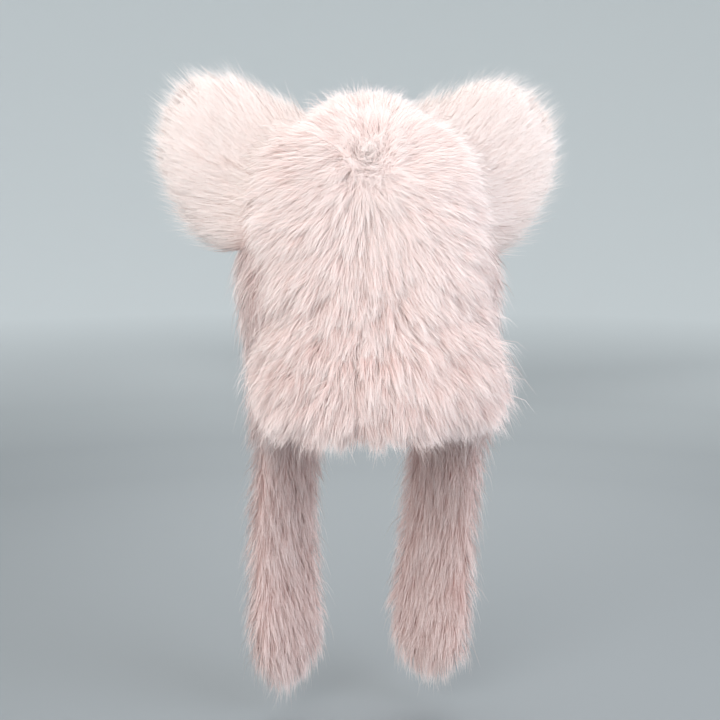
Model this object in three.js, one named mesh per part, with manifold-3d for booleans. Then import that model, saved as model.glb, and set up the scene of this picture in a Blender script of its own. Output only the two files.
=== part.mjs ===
// A long-pile faux fur bonnet with two cat ears and two long side flaps.
// Millimetres, +Z up. The face looks along -Y, and the wearer's left is +X.
// The origin is the inside top of the crown, where the head sits.

import * as THREE from "three";
import { mergeVertices } from "three/addons/utils/BufferGeometryUtils.js";
import Module from "manifold-3d";

const wasm = await Module();
wasm.setup();

// Shared sizes
const backingWall = 3; // the knitted cloth that carries the fur
const seatGap = 0.3; // clearance between two pieces that touch
const farAway = 400; // reaches past the whole bonnet when something is cut
const down = new THREE.Vector3(0, 0, -1);

// Head form: the outside of the backing, with the thickness of the fur on it.
// The dome runs from its top to domeLevelZ, and the rows go on from there to the hem.
const domeTopZ = backingWall;
const domeLevelZ = -110;
const domePower = 2.15; // 2 is an ellipse, more is squarer
const domeTopPile = 27;
const sectionPower = 2.25;
const hemZ = -272;
const headRows = [
  { z: -110, halfWidth: 88, halfDepth: 100, shiftX: -3, shiftY: 0, pile: 32 },
  { z: -150, halfWidth: 90, halfDepth: 101, shiftX: -8, shiftY: 0, pile: 33 },
  { z: -182, halfWidth: 88, halfDepth: 99, shiftX: -10, shiftY: 2, pile: 31 },
  { z: -215, halfWidth: 90, halfDepth: 100, shiftX: -11, shiftY: 4, pile: 35 },
  { z: -248, halfWidth: 95, halfDepth: 103, shiftX: -12, shiftY: 6, pile: 36 },
  { z: -266, halfWidth: 95, halfDepth: 103, shiftX: -12, shiftY: 7, pile: 29 },
  { z: -279, halfWidth: 93, halfDepth: 101, shiftX: -12, shiftY: 8, pile: 14 },
];
const headSides = 24;
const headLevels = [0.16, 0.34, 0.52, 0.74, 1, 1.24, 1.5, 1.72, 1.9, 2];
const earNotch = { level: 0.44, reach: 0.2, depth: 0.55 };

// Face opening: an arch through the front of the head form
const faceHalfWidth = 64;
const faceTopZ = -58;
const faceArchRise = 58;
const faceBackY = -12;

// The whorl on the upper back, where every strand of the crown starts
const whorl = new THREE.Vector3(9, 116, -46);
const sidewaysSpread = 1.45; // how much more the fur fans out than a straight ray

// Seam between the back panel and the side flap, seen from the side
const flapTopZ = -112;
const seamTopY = 54;
const seamHemY = 46;

// Ears: a padded form on a sloping seat. In the seat's frame, out points away from the
// head, across runs from front to back, and up runs along the seat to the top of the head.
const earSeat = { slopeDegrees: 34.9, middleX: 84, middleY: -5, middleZ: -60 };
const earSlot = { depth: 190, nearHalfWidth: 30, farHalfWidth: 70, nearUp: 77, farUp: 175 };
const earBaseLift = 4.7; // the ear's visible base line lies this far above the seat
const earPile = 14;
const earHalfThickness = 25;
const earFanDepth = 60; // the fur fans out from a point this deep behind the seat
const earBaseFlare = 0.35; // the base spreads until it fills its slot
const earRows = [
  { side: "left", halfBase: 84, height: 126, upperPower: 4.2, lowerPower: 2.05 },
  { side: "right", halfBase: 88, height: 125, upperPower: 3.2, lowerPower: 2.35 },
];
const earLevels = [-0.1, 0.12, 0.34, 0.56, 0.76, 0.9, 0.97];
const earSides = 14;
const earSectionPower = 0.85; // under 1 squares the padded section a little
const earRimUp = 18; // the rim's highest point lies above the middle of the seat
const earTurnIn = 0.3; // locks on both faces close in over the rim
const earCombed = 0.75; // 1 would lay the locks flat on the ear

// Side flaps, from under the ear to the free end, and where each one's middle hangs.
// Turn swings the broad face forward, and bend curls the rear edge in round the head.
const flapRows = [
  { z: -108, left: 94, right: 104, y: -14, halfWidth: 78, halfThickness: 25, turn: 13, bend: 26 },
  { z: -150, left: 96, right: 112, y: -14, halfWidth: 80, halfThickness: 26, turn: 14, bend: 26 },
  { z: -200, left: 90, right: 111, y: -17, halfWidth: 78, halfThickness: 26, turn: 16, bend: 24 },
  { z: -240, left: 84, right: 111, y: -22, halfWidth: 77, halfThickness: 25, turn: 20, bend: 20 },
  { z: -270, left: 78, right: 110, y: -34, halfWidth: 72, halfThickness: 24, turn: 27, bend: 12 },
  { z: -325, left: 67, right: 108, y: -72, halfWidth: 50, halfThickness: 24, turn: 41, bend: 0 },
  { z: -380, left: 69, right: 108, y: -88, halfWidth: 48, halfThickness: 23, turn: 48, bend: 0 },
  { z: -480, left: 70, right: 103, y: -102, halfWidth: 48, halfThickness: 23, turn: 53, bend: 0 },
  { z: -560, left: 68, right: 99, y: -105, halfWidth: 49, halfThickness: 23, turn: 54, bend: 0 },
  { z: -586, left: 68, right: 99, y: -105, halfWidth: 42, halfThickness: 20, turn: 54, bend: 0 },
  { z: -602, left: 68, right: 99, y: -105, halfWidth: 26, halfThickness: 12, turn: 54, bend: 0 },
];
const flapEndZ = -608;
const flapSides = 12;
const flapSectionPower = 2.4;

// Locks of fur: each lifts off the surface and droops back towards it at its tip.
const crownLock = { length: 66, halfWidth: 20, halfThickness: 8, lift: 5, droop: 17 };
const hemLock = { length: 42, halfWidth: 15, halfThickness: 7, lift: 2, droop: 6 };
const fringeLock = { length: 34, halfWidth: 12, halfThickness: 6, lift: 2, droop: 0 };
const earLock = { halfWidth: 15, halfThickness: 7, lift: 6, droop: 6 };
const flapLock = { length: 58, halfWidth: 16, halfThickness: 6, lift: 5, droop: 3 };
const crownLockRows = [
  { level: 0.2, count: 6 },
  { level: 0.42, count: 10 },
  { level: 0.64, count: 13 },
  { level: 0.88, count: 15 },
  { level: 1.14, count: 16 },
  { level: 1.4, count: 16 },
  { level: 1.66, count: 16 },
];
const hemLockLevel = 1.9;
const hemLockCount = 30;
const fringe = { count: 9, level: 0.72, sag: 0.5, sweep: 1.05 };
const fringeComb = { pileShare: 0.55, forward: 0.55, flat: 0.6 };
const earLockRows = [
  { level: 0.2, count: 6, length: 40 },
  { level: 0.48, count: 7, length: 36 },
  { level: 0.72, count: 7, length: 28 },
  { level: 0.93, count: 7, length: 17 },
];
const flapLockLevels = [-140, -205, -270, -335, -400, -465, -530, -580];
const flapLocksRound = 5;
const flapLockRise = 0.08; // how far a hanging lock stands off its flap
const lockUnderside = 0.6; // the flat underside, as a share of the half thickness

// Reads a column of a table at any height, on a smooth curve through the rows.
function tableReader(rows) {
  const names = Object.keys(rows[0]).filter((name) => name !== "z");
  const depths = rows.map((row) => -row.z);
  const values = rows.flatMap((row) => names.map((name) => row[name]));
  const curve = new THREE.CubicInterpolant(depths, values, names.length);
  return (z) => {
    const found = curve.evaluate(-z);
    return Object.fromEntries(names.map((name, index) => [name, found[index]]));
  };
}

const headAt = tableReader(headRows);
const power = (value, exponent) => Math.sign(value) * Math.abs(value) ** exponent;

// A point on the head form. Level 0 is the top, 1 the widest height, 2 the last row.
// Angle 0 is the wearer's left and a quarter turn is the back.
function headPoint(level, angle, offset) {
  const lastZ = headRows.at(-1).z;
  const dome = Math.min(level, 1);
  const swing = (dome * Math.PI) / 2;
  const spread = Math.sin(swing) ** (2 / domePower);
  const rise = Math.cos(swing) ** (2 / domePower);
  const wallZ = domeLevelZ + Math.max(level - 1, 0) * (lastZ - domeLevelZ);
  const row = headAt(wallZ);
  const added = offset(row, dome, angle);
  const z = level < 1 ? domeLevelZ + (domeTopZ - domeLevelZ + added) * rise : wallZ;
  const alongX = power(Math.cos(angle), 2 / sectionPower);
  const alongY = power(Math.sin(angle), 2 / sectionPower);
  return new THREE.Vector3(
    row.shiftX * spread + (row.halfWidth + added) * spread * alongX,
    row.shiftY * spread + (row.halfDepth + added) * spread * alongY,
    z,
  );
}

// The thickness of the fur. Beside the top of each ear the seam draws it down.
function furOffset(row, dome, angle) {
  const plain = domeTopPile + (row.pile - domeTopPile) * dome;
  const nearEarTop = Math.exp(-(((dome - earNotch.level) / earNotch.reach) ** 2));
  return plain * (1 - earNotch.depth * nearEarTop * Math.cos(angle) ** 4);
}

// The outward direction of a surface at a point, from two short steps along it.
function normalAt(surface, first, second, inside) {
  const step = 0.01;
  const here = surface(first, second);
  const along = surface(first + step, second).sub(here);
  const across = surface(first, second + step).sub(here);
  const normal = along.cross(across).normalize();
  return normal.dot(here.clone().sub(inside)) < 0 ? normal.negate() : normal;
}

// A closed geometry through rings of points, with each end drawn to one point.
function loft(rings, firstPoint, lastPoint) {
  const sides = rings[0].length;
  const points = [firstPoint, ...rings.flat(), lastPoint];
  const last = points.length - 1;
  const faces = [];
  const vertex = (ring, side) => 1 + ring * sides + (side % sides);
  for (let side = 0; side < sides; side += 1) {
    faces.push(0, vertex(0, side), vertex(0, side + 1));
    for (let ring = 0; ring < rings.length - 1; ring += 1) {
      const a = vertex(ring, side);
      const b = vertex(ring, side + 1);
      const c = vertex(ring + 1, side);
      const d = vertex(ring + 1, side + 1);
      faces.push(a, c, d, a, d, b);
    }
    faces.push(last, vertex(rings.length - 1, side + 1), vertex(rings.length - 1, side));
  }
  const geometry = new THREE.BufferGeometry().setFromPoints(points);
  return geometry.setIndex(faces);
}

// A closed geometry as a solid, turned inside out where its faces point inwards.
function solidFrom(geometry, mirrored = false) {
  const bare = geometry.clone();
  bare.deleteAttribute("normal");
  bare.deleteAttribute("uv");
  if (mirrored) bare.scale(-1, 1, 1);
  const merged = mergeVertices(bare, 1e-4);
  const vertProperties = new Float32Array(merged.attributes.position.array);
  const triVerts = new Uint32Array(merged.index.array);
  const made = new wasm.Manifold(new wasm.Mesh({ numProp: 3, vertProperties, triVerts }));
  if (made.volume() > 0) return made;
  for (let corner = 0; corner < triVerts.length; corner += 3) {
    [triVerts[corner], triVerts[corner + 1]] = [triVerts[corner + 1], triVerts[corner]];
  }
  return new wasm.Manifold(new wasm.Mesh({ numProp: 3, vertProperties, triVerts }));
}

const joinAll = (first, others) => others.reduce((whole, piece) => whole.add(piece), first);

// The biggest body of a solid, without the wisps that a cut left loose.
function biggestBody(solid) {
  const bodies = solid.decompose();
  return bodies.reduce((best, body) => (body.volume() > best.volume() ? body : best));
}

function meshFrom(name, solid, colour) {
  const { numProp, numVert, vertProperties, triVerts } = solid.getMesh();
  const positions = new Float32Array(numVert * 3);
  for (let index = 0; index < numVert; index += 1) {
    positions.set(vertProperties.subarray(index * numProp, index * numProp + 3), index * 3);
  }
  const geometry = new THREE.BufferGeometry();
  geometry.setAttribute("position", new THREE.BufferAttribute(positions, 3));
  geometry.setIndex(new THREE.BufferAttribute(triVerts, 1));
  geometry.computeVertexNormals();
  const material = new THREE.MeshStandardMaterial({ color: colour, roughness: 0.95, metalness: 0 });
  const mesh = new THREE.Mesh(geometry, material);
  mesh.name = name;
  return mesh;
}

// One lock of fur: a flat tapering wisp that bends along the nap and lifts at its tip.
function lockSolid(root, flow, normal, size) {
  const middle = root
    .clone()
    .addScaledVector(flow, size.length * 0.5)
    .addScaledVector(normal, size.lift);
  const tip = root
    .clone()
    .addScaledVector(flow, size.length)
    .addScaledVector(normal, size.lift - size.droop);
  const sunk = root.clone().addScaledVector(normal, -size.halfThickness);
  const spine = new THREE.QuadraticBezierCurve3(sunk, middle, tip);
  const side = new THREE.Vector3().crossVectors(flow, normal).normalize();
  const stations = [
    { along: 0, width: 0.85, thickness: 1 },
    { along: 0.55, width: 0.95, thickness: 0.8 },
  ];
  const rings = stations.map(({ along, width, thickness }) => {
    const centre = spine.getPoint(along);
    const reach = side.clone().multiplyScalar(size.halfWidth * width);
    const height = normal.clone().multiplyScalar(size.halfThickness * thickness);
    const underside = centre.clone().addScaledVector(height, -lockUnderside);
    return [underside.clone().add(reach), centre.add(height), underside.sub(reach)];
  });
  return solidFrom(loft(rings, sunk, tip));
}

// Points evenly round a section, each made from its angle.
function ringOf(count, pointAt, shift = 0) {
  return Array.from({ length: count }, (_, index) => pointAt(((index + shift) * 2 * Math.PI) / count));
}

// The head form as a solid that runs from the dome down to a bottom height.
function headSolid(offset, bottomZ) {
  const rings = headLevels.map((level) =>
    ringOf(headSides, (angle) => headPoint(level, angle, offset)),
  );
  const lastRing = rings.at(-1);
  if (bottomZ < lastRing[0].z) {
    rings.push(lastRing.map((point) => point.clone().setZ(bottomZ)));
  }
  const top = headPoint(0, 0, offset);
  const floor = new THREE.Vector3(headRows.at(-1).shiftX, 0, rings.at(-1)[0].z);
  return solidFrom(loft(rings, top, floor));
}

// The face opening as a solid: an arch in X and Z, pushed through the front along Y.
function faceArch() {
  const springZ = faceTopZ - faceArchRise;
  const shape = new THREE.Shape();
  shape.moveTo(faceHalfWidth, -farAway);
  shape.lineTo(faceHalfWidth, springZ);
  shape.absellipse(0, springZ, faceHalfWidth, faceArchRise, 0, Math.PI, false, 0);
  shape.lineTo(-faceHalfWidth, -farAway);
  shape.closePath();
  const depth = faceBackY + farAway;
  const geometry = new THREE.ExtrudeGeometry(shape, { depth, bevelEnabled: false, curveSegments: 10 });
  return solidFrom(geometry.rotateX(Math.PI / 2).translate(0, faceBackY, 0));
}

// The side of the head that the flap covers: below its top and in front of the seam.
function flapZone(sign, grow) {
  const shape = new THREE.Shape();
  shape.moveTo(seamTopY + grow, flapTopZ + grow);
  shape.lineTo(seamHemY + grow, hemZ);
  shape.lineTo(seamHemY + grow, -farAway * 2);
  shape.lineTo(-farAway, -farAway * 2);
  shape.lineTo(-farAway, flapTopZ + grow);
  shape.closePath();
  const geometry = new THREE.ExtrudeGeometry(shape, { depth: farAway, bevelEnabled: false });
  geometry.rotateX(Math.PI / 2);
  geometry.rotateZ(Math.PI / 2);
  return solidFrom(geometry, sign < 0);
}

// The slot in the crown's fur that an ear sits in, widening away from the head.
function earZone(sign, grow) {
  const frame = earFrame();
  const corner = (out, across, up) => new THREE.Vector3(out, across, up).applyMatrix4(frame);
  const ring = (out, halfWidth, halfUp) => [
    corner(out, -halfWidth - grow, -halfUp - grow),
    corner(out, halfWidth + grow, -halfUp - grow),
    corner(out, halfWidth + grow, halfUp + grow),
    corner(out, -halfWidth - grow, halfUp + grow),
  ];
  const rings = [
    ring(-grow, earSlot.nearHalfWidth, earSlot.nearUp),
    ring(earSlot.depth, earSlot.farHalfWidth, earSlot.farUp),
  ];
  const geometry = loft(rings, corner(-grow, 0, 0), corner(earSlot.depth, 0, 0));
  return solidFrom(geometry, sign < 0);
}

// Seat frame of the left ear: out from the head, across its thickness, up along the seat.
function earFrame() {
  const slope = THREE.MathUtils.degToRad(earSeat.slopeDegrees);
  const out = new THREE.Vector3(Math.cos(slope), 0, Math.sin(slope));
  const across = new THREE.Vector3(0, 1, 0);
  const up = new THREE.Vector3().crossVectors(out, across);
  const middle = new THREE.Vector3(earSeat.middleX, earSeat.middleY, earSeat.middleZ);
  return new THREE.Matrix4().makeBasis(out, across, up).setPosition(middle);
}

// Ear surface in the seat frame. Level runs from the base to the rim, less the pile.
function earPoint(row, level, angle) {
  const height = row.height - earPile;
  const halfBase = row.halfBase - earPile;
  const rise = Math.max(level, 0);
  const flare = 1 + earBaseFlare * (1 - rise) ** 5;
  const upper = flare * halfBase * (1 - rise ** row.upperPower) ** (1 / row.upperPower);
  const lower = flare * halfBase * (1 - rise ** row.lowerPower) ** (1 / row.lowerPower);
  const thickness = flare * earHalfThickness * (1 - rise ** 3) ** (1 / 3);
  return new THREE.Vector3(
    earBaseLift + level * height,
    thickness * power(Math.sin(angle), earSectionPower),
    (upper - lower) / 2 + ((upper + lower) / 2) * power(Math.cos(angle), earSectionPower),
  );
}

function earSolid(row) {
  const frame = earFrame();
  const turned = new THREE.Matrix4().extractRotation(frame);
  const surface = (level, angle) => earPoint(row, level, angle);
  const rings = earLevels.map((level) =>
    ringOf(earSides, (angle) => surface(level, angle).applyMatrix4(frame)),
  );
  const base = new THREE.Vector3(earBaseLift + earLevels[0] * row.height, 0, 0);
  const rim = new THREE.Vector3(earBaseLift + row.height - earPile, 0, earRimUp);
  const core = solidFrom(loft(rings, base.applyMatrix4(frame), rim.applyMatrix4(frame)));
  const heart = new THREE.Vector3(row.height / 2, 0, 0);
  const lockAt = (level, angle, length) => {
    const root = surface(level, angle);
    const normal = normalAt(surface, level, angle, heart);
    const ray = new THREE.Vector3(root.x + earFanDepth, -root.y * earTurnIn, root.z);
    const flow = ray.addScaledVector(normal, -ray.dot(normal) * earCombed).normalize();
    root.applyMatrix4(frame);
    flow.applyMatrix4(turned);
    normal.applyMatrix4(turned);
    return lockSolid(root, flow, normal, { ...earLock, length });
  };
  const locks = earLockRows.flatMap(({ level, count, length }, row) =>
    ringOf(count, (angle) => lockAt(level, angle, length), (row % 2) / 2),
  );
  return joinAll(core, locks);
}

const flapAt = tableReader(flapRows);

// Flap surface: an oval section at each height, turned about the vertical.
function flapPoint(side, z, angle) {
  const row = flapAt(z);
  const turn = THREE.MathUtils.degToRad(row.turn);
  const share = power(Math.cos(angle), 2 / flapSectionPower);
  const along = row.halfWidth * share;
  const bent = row.bend * Math.max(share, 0) ** 2;
  const out = row.halfThickness * power(Math.sin(angle), 2 / flapSectionPower) - bent;
  return new THREE.Vector3(
    row[side] + out * Math.cos(turn) + along * Math.sin(turn),
    row.y - out * Math.sin(turn) + along * Math.cos(turn),
    z,
  );
}

function flapSolid(side) {
  const middleAt = (z) => new THREE.Vector3(flapAt(z)[side], flapAt(z).y, z);
  const rings = flapRows.map(({ z }) => ringOf(flapSides, (angle) => flapPoint(side, z, angle)));
  const endPoint = middleAt(flapRows.at(-1).z).setZ(flapEndZ);
  const core = solidFrom(loft(rings, middleAt(flapRows[0].z), endPoint));
  const lockAt = (z, angle) => {
    const surface = (fall, swing) => flapPoint(side, z - fall, swing);
    const normal = normalAt(surface, 0, angle, middleAt(z));
    const hidden = z > hemZ && normal.x < 0.2; // between the flap and the backing
    if (hidden) return null;
    const flow = down.clone().addScaledVector(normal, flapLockRise - normal.dot(down));
    return lockSolid(surface(0, angle), flow.normalize(), normal, flapLock);
  };
  const locks = flapLockLevels.flatMap((z, row) =>
    ringOf(flapLocksRound, (angle) => lockAt(z, angle), (row % 2) / 2),
  );
  return joinAll(core, locks.filter(Boolean));
}

// Which way the crown's fur lies at a point: away from the whorl, fanning out sideways.
function crownFlow(point, normal) {
  const ray = point.clone().sub(whorl);
  ray.x *= sidewaysSpread;
  return ray.addScaledVector(normal, -ray.dot(normal)).normalize();
}

// A root in the face opening or under a flap grows no lock.
function crownRootIsBare({ x, y, z }) {
  const inFace = y < faceBackY && Math.abs(x) < faceHalfWidth && z < faceTopZ;
  const underFlap = y <= seamTopY && z <= flapTopZ;
  return inFace || underFlap;
}

function crownLocks() {
  const surface = (level, angle) => headPoint(level, angle, furOffset);
  const lockAt = (level, angle, size) => {
    const root = surface(level, angle);
    if (crownRootIsBare(root)) return null;
    const heart = new THREE.Vector3(0, 0, Math.min(root.z, domeLevelZ));
    const normal = normalAt(surface, level, angle, heart);
    return lockSolid(root, crownFlow(root, normal), normal, size);
  };
  const rows = crownLockRows.flatMap(({ level, count }, row) =>
    ringOf(count, (angle) => lockAt(level, angle, crownLock), (row % 2) / 2),
  );
  const hem = ringOf(hemLockCount, (angle) => lockAt(hemLockLevel, angle, hemLock));
  return [...rows, ...hem].filter(Boolean);
}

// Locks along the top of the face opening, combed forward over the forehead.
function fringeLocks() {
  const surface = (level, angle) => headPoint(level, angle, (row) => row.pile * fringeComb.pileShare);
  const heart = new THREE.Vector3(0, 0, domeLevelZ);
  return Array.from({ length: fringe.count }, (_, index) => {
    const share = (index + 0.5) / fringe.count - 0.5;
    const angle = -Math.PI / 2 + share * fringe.sweep;
    const level = fringe.level + fringe.sag * share ** 2;
    const normal = normalAt(surface, level, angle, heart);
    const flow = down.clone().setY(-fringeComb.forward);
    flow.addScaledVector(normal, -flow.dot(normal) * fringeComb.flat).normalize();
    return lockSolid(surface(level, angle), flow, normal, fringeLock);
  });
}

// Backing: a thin wall on the head form, with the face opening and a level hem
const lowestZ = headRows.at(-1).z;
const arch = faceArch();
const hollow = headSolid(() => -backingWall, -farAway);
const belowHem = solidFrom(
  new THREE.BoxGeometry(farAway * 2, farAway * 2, farAway).translate(0, 0, hemZ - farAway / 2),
);
const wall = headSolid(() => 0, lowestZ).subtract(hollow);
const backing = wall.subtract(arch).subtract(belowHem);

// Crown fur: a thick skin on the backing with its locks, cut clear of ears and flaps
const halfGap = seatGap / 2;
const seatOffset = () => seatGap;
const crownSkin = headSolid(furOffset, lowestZ).subtract(arch);
const furred = joinAll(crownSkin, [...crownLocks(), ...fringeLocks()]);
const zones = [1, -1].flatMap((sign) => [earZone(sign, halfGap), flapZone(sign, halfGap)]);
const cleared = zones.reduce((whole, zone) => whole.subtract(zone), furred);
const crownFur = biggestBody(cleared.subtract(headSolid(seatOffset, -farAway)));

// Ears and flaps: made on the wearer's left, mirrored for the right, and fitted to
// their slots and to the backing
const backingSeat = headSolid(seatOffset, lowestZ);

function onItsSide(solid, sign) {
  return sign > 0 ? solid : solidFrom(meshFrom("mirrored", solid, "#ffffff").geometry, true);
}

function fittedEar(row, sign) {
  return onItsSide(earSolid(row), sign).intersect(earZone(sign, -halfGap)).subtract(backingSeat);
}

function fittedFlap(side, sign) {
  const flap = onItsSide(flapSolid(side), sign).intersect(flapZone(sign, -halfGap));
  return flap.subtract(earZone(sign, halfGap)).subtract(backingSeat);
}

const furColour = "#f3dad5";
const earColour = "#fdf0ec";
const backingColour = "#e3cbc6";
const bonnet = new THREE.Group();
bonnet.add(meshFrom("crown_backing", backing, backingColour));
bonnet.add(meshFrom("crown_fur", crownFur, furColour));
bonnet.add(meshFrom("ear_left", fittedEar(earRows[0], 1), earColour));
bonnet.add(meshFrom("ear_right", fittedEar(earRows[1], -1), earColour));
bonnet.add(meshFrom("flap_left", fittedFlap("left", 1), furColour));
bonnet.add(meshFrom("flap_right", fittedFlap("right", -1), furColour));

export default bonnet;
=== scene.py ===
# %% [markdown]
# # A cat ear bonnet in long-pile faux fur
# The bonnet has five parts that show: a crown with a deep back panel, two padded ears and
# two long side flaps. All are sewn from faux fur, a knitted ground cloth with a pile of
# long soft fibres. Blender can grow hair with particles or hair curves, but a part that is
# exported needs plain meshes. So each strand is a thin tapering ribbon, and numpy makes
# all the ribbons of a piece at once. That is fast, and gives the same fur each run.

# %% Start from the imported model
import math

import bpy
import numpy as np
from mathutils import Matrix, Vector
from mathutils.bvhtree import BVHTree
from mathutils.kdtree import KDTree


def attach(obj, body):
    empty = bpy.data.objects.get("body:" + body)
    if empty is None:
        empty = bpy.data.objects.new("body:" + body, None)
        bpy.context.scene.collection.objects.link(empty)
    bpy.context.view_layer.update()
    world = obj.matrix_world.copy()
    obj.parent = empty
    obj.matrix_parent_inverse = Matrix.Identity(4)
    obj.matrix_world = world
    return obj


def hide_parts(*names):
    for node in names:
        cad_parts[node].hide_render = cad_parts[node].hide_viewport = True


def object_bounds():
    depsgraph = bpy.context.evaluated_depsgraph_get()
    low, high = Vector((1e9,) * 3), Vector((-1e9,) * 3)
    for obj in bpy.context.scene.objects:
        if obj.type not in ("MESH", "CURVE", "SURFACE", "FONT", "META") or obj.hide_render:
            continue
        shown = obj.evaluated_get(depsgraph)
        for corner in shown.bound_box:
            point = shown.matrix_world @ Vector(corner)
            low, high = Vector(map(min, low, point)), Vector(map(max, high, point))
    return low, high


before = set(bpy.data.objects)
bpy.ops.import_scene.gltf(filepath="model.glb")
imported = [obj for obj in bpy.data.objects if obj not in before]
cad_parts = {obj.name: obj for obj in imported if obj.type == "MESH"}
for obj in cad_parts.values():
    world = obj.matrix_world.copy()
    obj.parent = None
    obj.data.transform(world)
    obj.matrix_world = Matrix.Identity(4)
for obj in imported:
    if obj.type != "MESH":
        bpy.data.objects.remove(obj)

cad_box = [list(map(float, corner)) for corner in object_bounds()]
print("the CAD box, in metres:", cad_box)

# %% [markdown]
# ## Camera
# The picture is taken from behind and a little above, slightly to one side. Setting the
# camera first means that every later choice is seen from the right place. It stands on a
# ball round the target, at an azimuth and an elevation, and looks back at the target.

# %% Camera at the picture's viewing angle
AZIMUTH = math.radians(171)
ELEVATION = math.radians(8)
TARGET = Vector((0, 0, -0.234))
CAMERA_DISTANCE = 1.17
LENS_MM = 57.5
SENSOR_MM = 36

backward = Vector((
    math.sin(AZIMUTH) * math.cos(ELEVATION),
    -math.cos(AZIMUTH) * math.cos(ELEVATION),
    math.sin(ELEVATION),
))
camera_data = bpy.data.cameras.new("camera")
camera_data.lens = LENS_MM
camera_data.sensor_width = SENSOR_MM
camera = bpy.data.objects.new("camera", camera_data)
camera.location = TARGET + backward * CAMERA_DISTANCE
camera.rotation_euler = backward.to_track_quat("Z", "Y").to_euler()
bpy.context.scene.collection.objects.link(camera)
bpy.context.scene.camera = camera
print("camera at", [round(value, 3) for value in camera.location])

# %% [markdown]
# ## Colours and nodes
# Colours are written as the hex values that a paint chart gives. Blender's shaders count
# in linear light, so one function turns each hex value into linear numbers. A second
# function adds a node, sets its values and wires its inputs, which keeps each material
# short enough to read from top to bottom.

# %% A colour from its hex value
def colour(hex_value):
    """Linear red, green, blue and alpha from a hex value such as #D3DADD."""
    channels = [int(hex_value[place:place + 2], 16) / 255 for place in (1, 3, 5)]
    linear = [c / 12.92 if c <= 0.04045 else ((c + 0.055) / 1.055) ** 2.4 for c in channels]
    return (*linear, 1.0)


# %% A node with its settings and links
def add_node(tree, kind, settings=None, **inputs):
    """Adds a node. An input is named, or numbered from 0 as _6 is. It gets a value, or a
    link from another node's output."""
    node = tree.nodes.new("ShaderNode" + kind)
    for name, value in (settings or {}).items():
        setattr(node, name, value)
    for name, value in inputs.items():
        which = int(name[1:]) if name[1:].isdigit() else name.replace("_", " ")
        socket = node.inputs[which]
        if isinstance(value, bpy.types.NodeSocket):
            tree.links.new(value, socket)
        else:
            socket.default_value = value
    return node


# %% A new material with its shader
SHEEN_ROUGHNESS = 0.5


def new_material(name, roughness, ior, sheen):
    """An empty material, and its Principled shader to wire things into."""
    material = bpy.data.materials.new(name)
    material.use_nodes = True
    shader = material.node_tree.nodes["Principled BSDF"]
    shader.inputs["Roughness"].default_value = roughness
    shader.inputs["IOR"].default_value = ior
    shader.inputs["Sheen Weight"].default_value = sheen
    shader.inputs["Sheen Roughness"].default_value = SHEEN_ROUGHNESS
    return material, material.node_tree, shader


# %% [markdown]
# ## Floor, backdrop and light
# The floor is plain and pale, and it curves up into a backdrop all round, like a shallow
# bowl. A flat wall would stand in the way of the views from the other sides. The light is
# soft: four wide panels, and an even sky of a pale grey. The paper is matt and uncoated, so
# it scatters the light evenly and has no shine.

# %% Floor that curves up into a backdrop
FLOOR_GAP = 0.018  # the fur's tips reach a little lower than the CAD model
FLOOR_Z = cad_box[0][2] - FLOOR_GAP
FLOOR_RADIUS = 1.3
CURVE_RADIUS = 2.0
WALL_TOP = 2.2
FLOOR_SIDES = 96
CURVE_STEPS = 12
MIDDLE_RADIUS = 0.02  # the innermost ring, which one face closes

profile = [(MIDDLE_RADIUS, FLOOR_Z), (FLOOR_RADIUS, FLOOR_Z)]
for step in range(1, CURVE_STEPS + 1):
    swing = step / CURVE_STEPS * math.pi / 2
    profile.append((
        FLOOR_RADIUS + CURVE_RADIUS * math.sin(swing),
        FLOOR_Z + CURVE_RADIUS * (1 - math.cos(swing)),
    ))
profile.append((FLOOR_RADIUS + CURVE_RADIUS, FLOOR_Z + WALL_TOP))
floor_points = []
floor_faces = []
for ring, (radius, height) in enumerate(profile):
    for side in range(FLOOR_SIDES):
        turn = side / FLOOR_SIDES * 2 * math.pi
        floor_points.append((radius * math.cos(turn), radius * math.sin(turn), height))
        if ring:
            following = (side + 1) % FLOOR_SIDES
            before = (ring - 1) * FLOOR_SIDES
            here = ring * FLOOR_SIDES
            floor_faces.append((before + side, here + side, here + following, before + following))
floor_faces.append(tuple(range(FLOOR_SIDES)))
floor_mesh = bpy.data.meshes.new("studio_floor")
floor_mesh.from_pydata(floor_points, [], floor_faces)
floor_mesh.shade_smooth()
studio_floor = bpy.data.objects.new("studio_floor", floor_mesh)
bpy.context.scene.collection.objects.link(studio_floor)
print("floor at", round(FLOOR_Z, 3), "m with", len(floor_faces), "faces")

# %% Matt paper for the floor and backdrop, with painted light: darker on the floor and lighter up the wall
PAINTED_LIGHT_RISE = 0.25
paper, paper_tree, paper_shader = new_material(
    "seamless_paper_matt", roughness=0.9, ior=1.45, sheen=0.0
)
paper_place = add_node(paper_tree, "TexCoord")
paper_axes = add_node(paper_tree, "SeparateXYZ", Vector=paper_place.outputs["Object"])
painted_light_height = add_node(
    paper_tree, "MapRange",
    _0=paper_axes.outputs["Z"], _1=FLOOR_Z, _2=FLOOR_Z + PAINTED_LIGHT_RISE,
)
# Painted light: the paper is painted darker on the floor, which the panels light most, and
# lighter up the wall, where less of their light reaches.
painted_light_tint = add_node(
    paper_tree, "Mix", {"data_type": "RGBA"},
    Factor=painted_light_height.outputs["Result"], _6=colour("#868C90"), _7=colour("#D3DADD"),
)
paper_tree.links.new(painted_light_tint.outputs[2], paper_shader.inputs["Base Color"])
floor_mesh.materials.append(paper)
print("paper:", paper.name)

# %% A soft light panel
PANEL_SPREAD = math.radians(130)  # below the full 180 degrees, so no edge shows on the floor


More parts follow.
